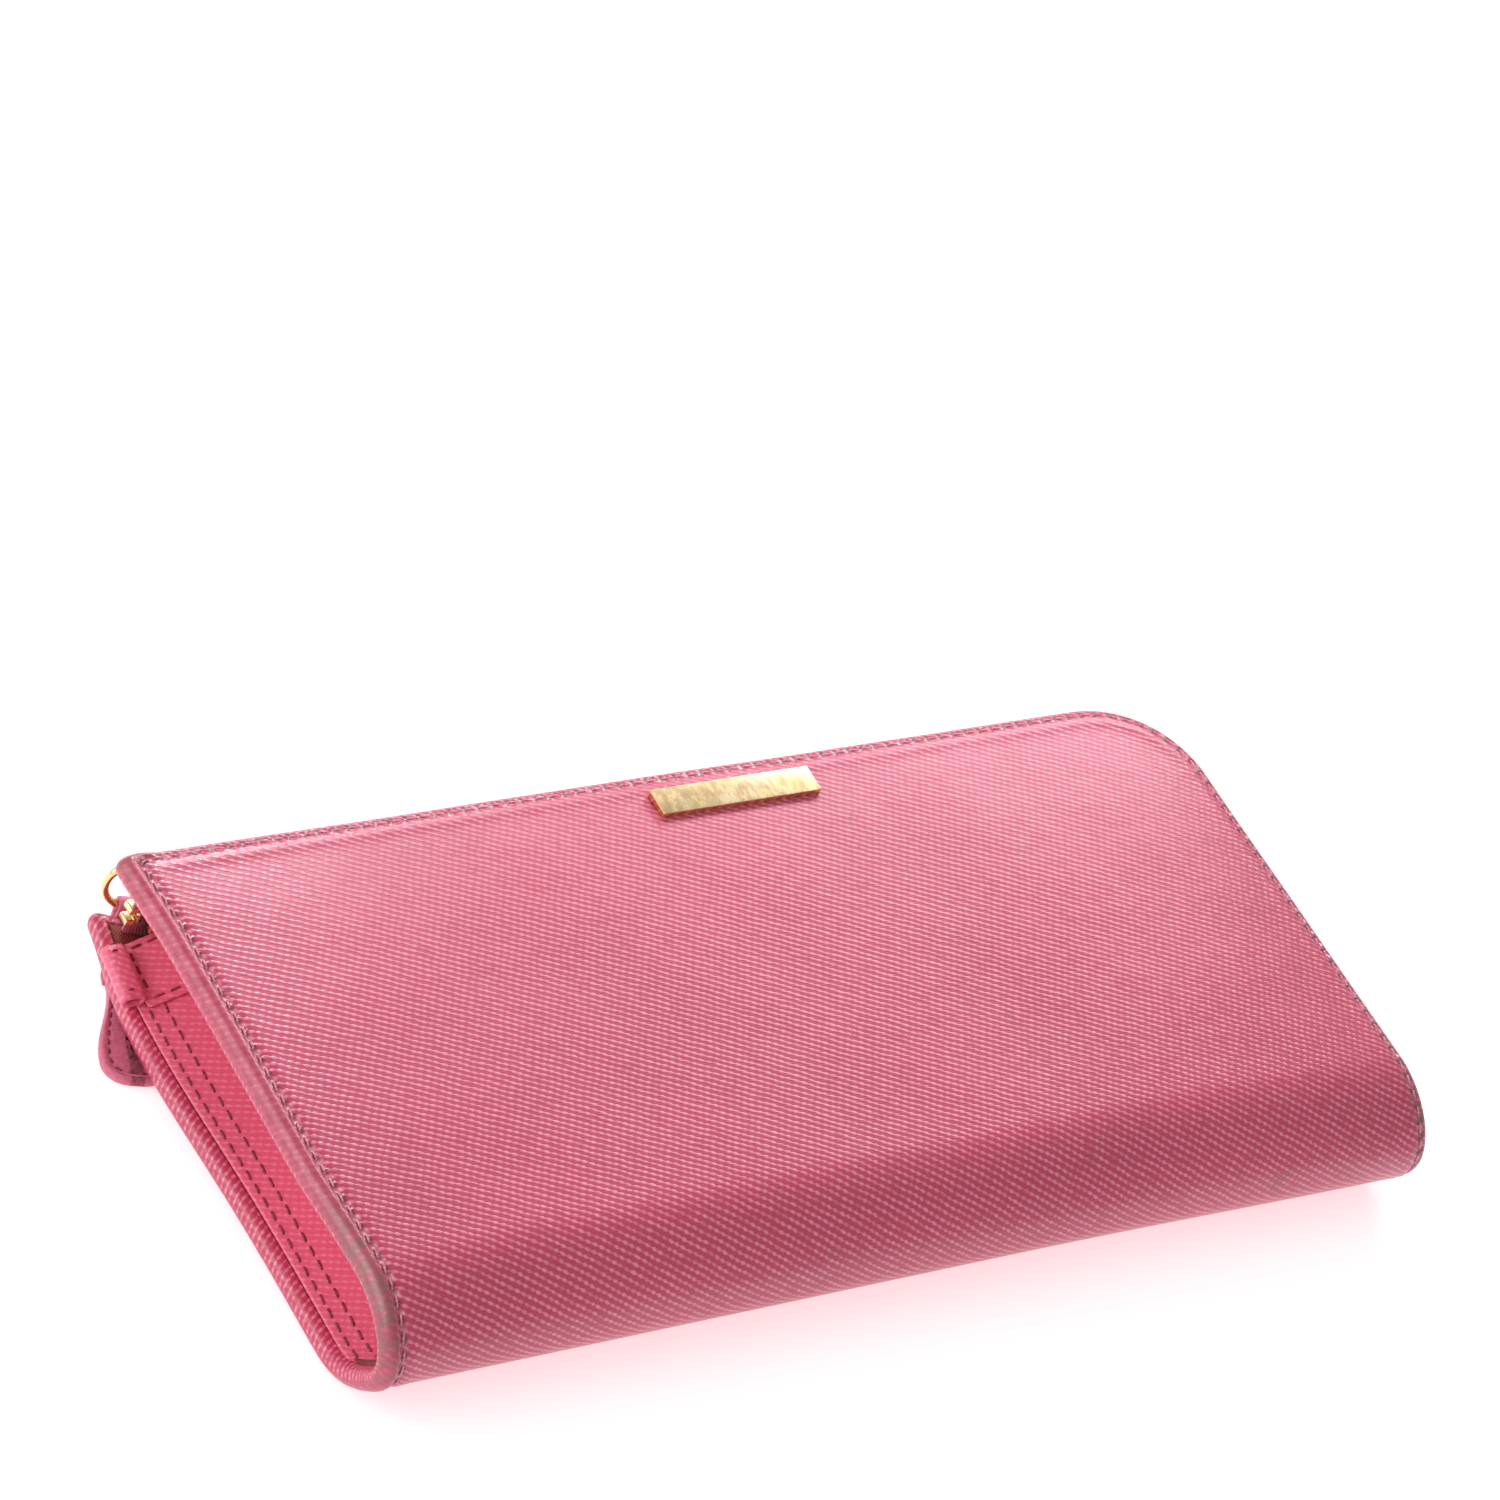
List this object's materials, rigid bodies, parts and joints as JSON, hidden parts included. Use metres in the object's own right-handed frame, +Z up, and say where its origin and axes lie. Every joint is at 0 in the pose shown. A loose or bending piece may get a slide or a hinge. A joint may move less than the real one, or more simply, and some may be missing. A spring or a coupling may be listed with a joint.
{
  "type": "wallet",
  "caption": "Long wristlet wallet in cross-hatched pink leather, lying on its back, with a folded spine, a zip round the top and right side, a left gusset and a leather zip pull.",
  "frame": {"origin": "on the surface that the wallet lies on, under the middle of the whole model's box", "axes": "+X along the wallet towards its rounded zip corner, +Y from the folded spine to the zipped edge, +Z up, out of the front panel (the wallet is tipped 2.8 degrees about X by the pull tab under its zipped edge)"},
  "size_m": [0.2014, 0.0972, 0.0252],
  "materials": {
    "outer_leather": "cross-hatched, semi-gloss",
    "tab_leather": "cross-hatched, painted edge",
    "inner_leather": "cross-hatched, satin",
    "lining": "smooth, satin",
    "board": "bonded fibre, matt",
    "zip_tape": "woven, matt",
    "gold": "polished gold plate"
  },
  "bodies": {
    "rear_shell": {"rear_outer": "outer_leather", "rear_board": "board", "rear_lining": "lining", "rear_bill_panel": "inner_leather", "rear_card_slot_1": "inner_leather", "rear_card_slot_2": "inner_leather", "rear_card_slot_3": "inner_leather", "rear_zip_tape": "zip_tape", "rear_zip_teeth": "gold", "rear_zip_stop": "gold", "zip_end_tab": "outer_leather", "left_gusset": "outer_leather", "strap_loop": "outer_leather"},
    "front_cover": {"front_outer": "outer_leather", "front_board": "board", "front_lining": "lining", "front_bill_panel": "inner_leather", "front_card_slot_1": "inner_leather", "front_card_slot_2": "inner_leather", "front_card_slot_3": "inner_leather", "front_zip_tape": "zip_tape", "front_zip_teeth": "gold", "front_zip_stop": "gold", "ornament_bar": "gold"},
    "coin_pocket": {"coin_front_wall": "inner_leather", "coin_rear_wall": "inner_leather", "coin_bottom_fold": "inner_leather", "coin_left_gusset": "inner_leather", "coin_right_gusset": "inner_leather", "coin_front_tape": "zip_tape", "coin_rear_tape": "zip_tape", "coin_front_teeth": "gold", "coin_rear_teeth": "gold"},
    "zip_slider": {"zip_slider": "gold"},
    "pull_ring": {"pull_ring": "gold"},
    "pull_tab": {"pull_tab": "tab_leather"},
    "coin_slider": {"coin_slider": "gold"},
    "coin_pull": {"coin_pull": "gold"}
  },
  "joints": [
    {"name": "cover_open", "type": "hinge", "parent": "rear_shell", "child": "front_cover", "pos_m": [0.00317, -0.04856, 0.00955], "axis": [1, 0, 0], "range_deg": [0, 30], "deforming": ["left_gusset"]},
    {"name": "divider_swing", "type": "hinge", "parent": "rear_shell", "child": "coin_pocket", "pos_m": [0.00317, -0.04856, 0.00955], "axis": [1, 0, 0], "range_deg": [0, 15]},
    {"name": "zip_slide", "type": "slide", "parent": "rear_shell", "child": "zip_slider", "axis": [1, 0, 0], "range_m": [0, 0.16]},
    {"name": "ring_swing", "type": "hinge", "parent": "zip_slider", "child": "pull_ring", "pos_m": [-0.08383, 0.04513, 0.01414], "axis": [0, 0, 1], "range_deg": [-75, 0]},
    {"name": "tab_swing", "type": "hinge", "parent": "pull_ring", "child": "pull_tab", "pos_m": [-0.08801, 0.04649, 0.00974], "axis": [-0.9511, 0.309, 0], "range_deg": [-100, 0]},
    {"name": "coin_zip_slide", "type": "slide", "parent": "coin_pocket", "child": "coin_slider", "axis": [1, 0, 0], "range_m": [0, 0.128]},
    {"name": "coin_pull_swing", "type": "hinge", "parent": "coin_slider", "child": "coin_pull", "pos_m": [-0.05483, 0.02815, 0.01331], "axis": [0, -0.0489, 0.9988], "range_deg": [0, 100]}
  ],
  "couplings": [
    {"joint": "divider_swing", "follows": "cover_open", "ratio": 0.5}
  ]
}
